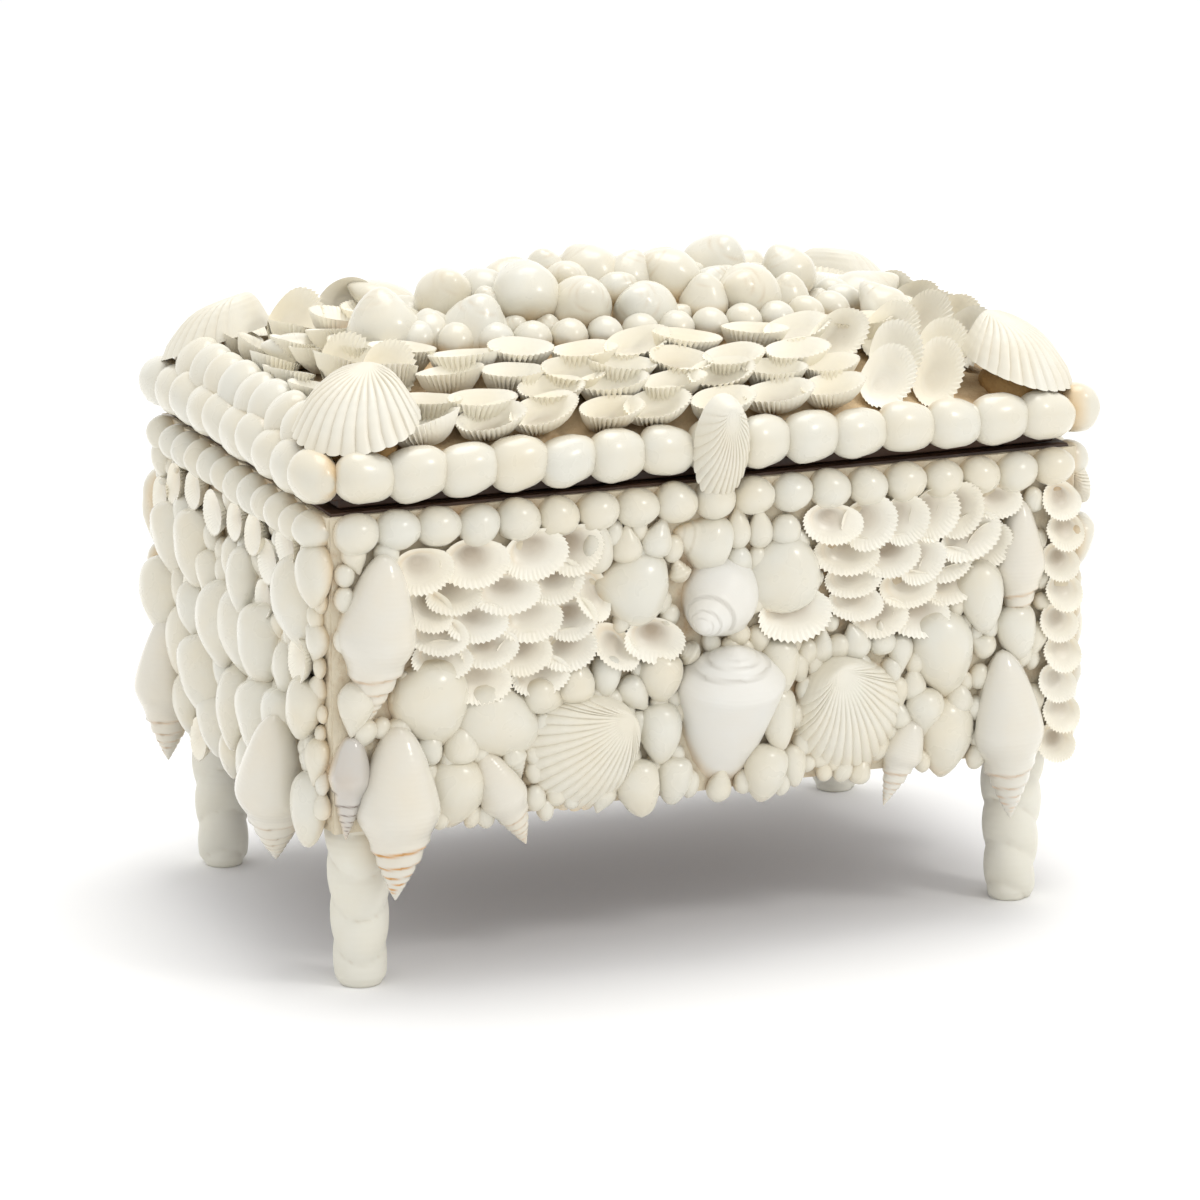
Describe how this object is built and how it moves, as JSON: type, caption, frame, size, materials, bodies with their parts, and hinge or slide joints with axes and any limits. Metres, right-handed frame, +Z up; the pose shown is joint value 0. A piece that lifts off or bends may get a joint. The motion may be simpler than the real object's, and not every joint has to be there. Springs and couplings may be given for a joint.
{
  "type": "footed keepsake box",
  "caption": "Rectangular keepsake box covered in white sea shells, with a lift-off domed lid, bead-shell borders and turret-shell legs.",
  "frame": {"origin": "on the ground, under the middle of the box", "axes": "+X to the right along the front, +Y towards the back, +Z up; the front faces -Y"},
  "size_m": [0.3026, 0.2117, 0.2244],
  "materials": {
    "shell": "glossy",
    "leg_shell": "satin",
    "plaster": "matt",
    "case_wood": "dark stained"
  },
  "bodies": {
    "root": {"back_conch_left": "shell", "back_conch_right": "shell", "back_moon_shell": "shell", "back_scallop_left": "shell", "back_scallop_right": "shell", "case_beads_back": "shell", "case_beads_front": "shell", "case_beads_left": "shell", "case_beads_right": "shell", "case_body": "case_wood", "crown_moon_shell_1": "shell", "crown_moon_shell_2": "shell", "crown_moon_shell_3": "shell", "crown_moon_shell_4": "shell", "crown_moon_shell_5": "shell", "crown_moon_shell_6": "shell", "crown_moon_shell_7": "shell", "front_bubble_foot_right": "shell", "front_bubble_lower_left": "shell", "front_bubble_lower_right": "shell", "front_bubble_slant_left": "shell", "front_bubble_square": "shell", "front_bubble_upper_left": "shell", "front_bubble_upper_right": "shell", "front_conch_lower_left": "shell", "front_conch_lower_right": "shell", "front_conch_upper_left": "shell", "front_conch_upper_right": "shell", "front_moon_shell": "shell", "front_moon_shell_small": "shell", "front_pearl_conch": "shell", "front_scallop_left": "shell", "front_scallop_right": "shell", "front_slant_conch_left": "shell", "front_slant_conch_right": "shell", "front_vase_shell": "shell", "left_bubble_front": "shell", "left_bubble_middle": "shell", "left_conch_back": "shell", "left_conch_front": "shell", "leg_back_left": "leg_shell", "leg_back_right": "leg_shell", "leg_front_left": "leg_shell", "leg_front_right": "leg_shell", "lid_bead_ring": "shell", "lid_beads_back": "shell", "lid_beads_front": "shell", "lid_beads_left": "shell", "lid_beads_right": "shell", "lid_clasp_cockle": "shell", "lid_cockle_back_left": "shell", "lid_cockle_back_right": "shell", "lid_cockle_front_left": "shell", "lid_cockle_front_right": "shell", "lid_panel": "plaster", "right_bubble_front": "shell", "right_bubble_middle": "shell", "right_conch_back": "shell", "right_conch_front": "shell"}
  },
  "joints": []
}
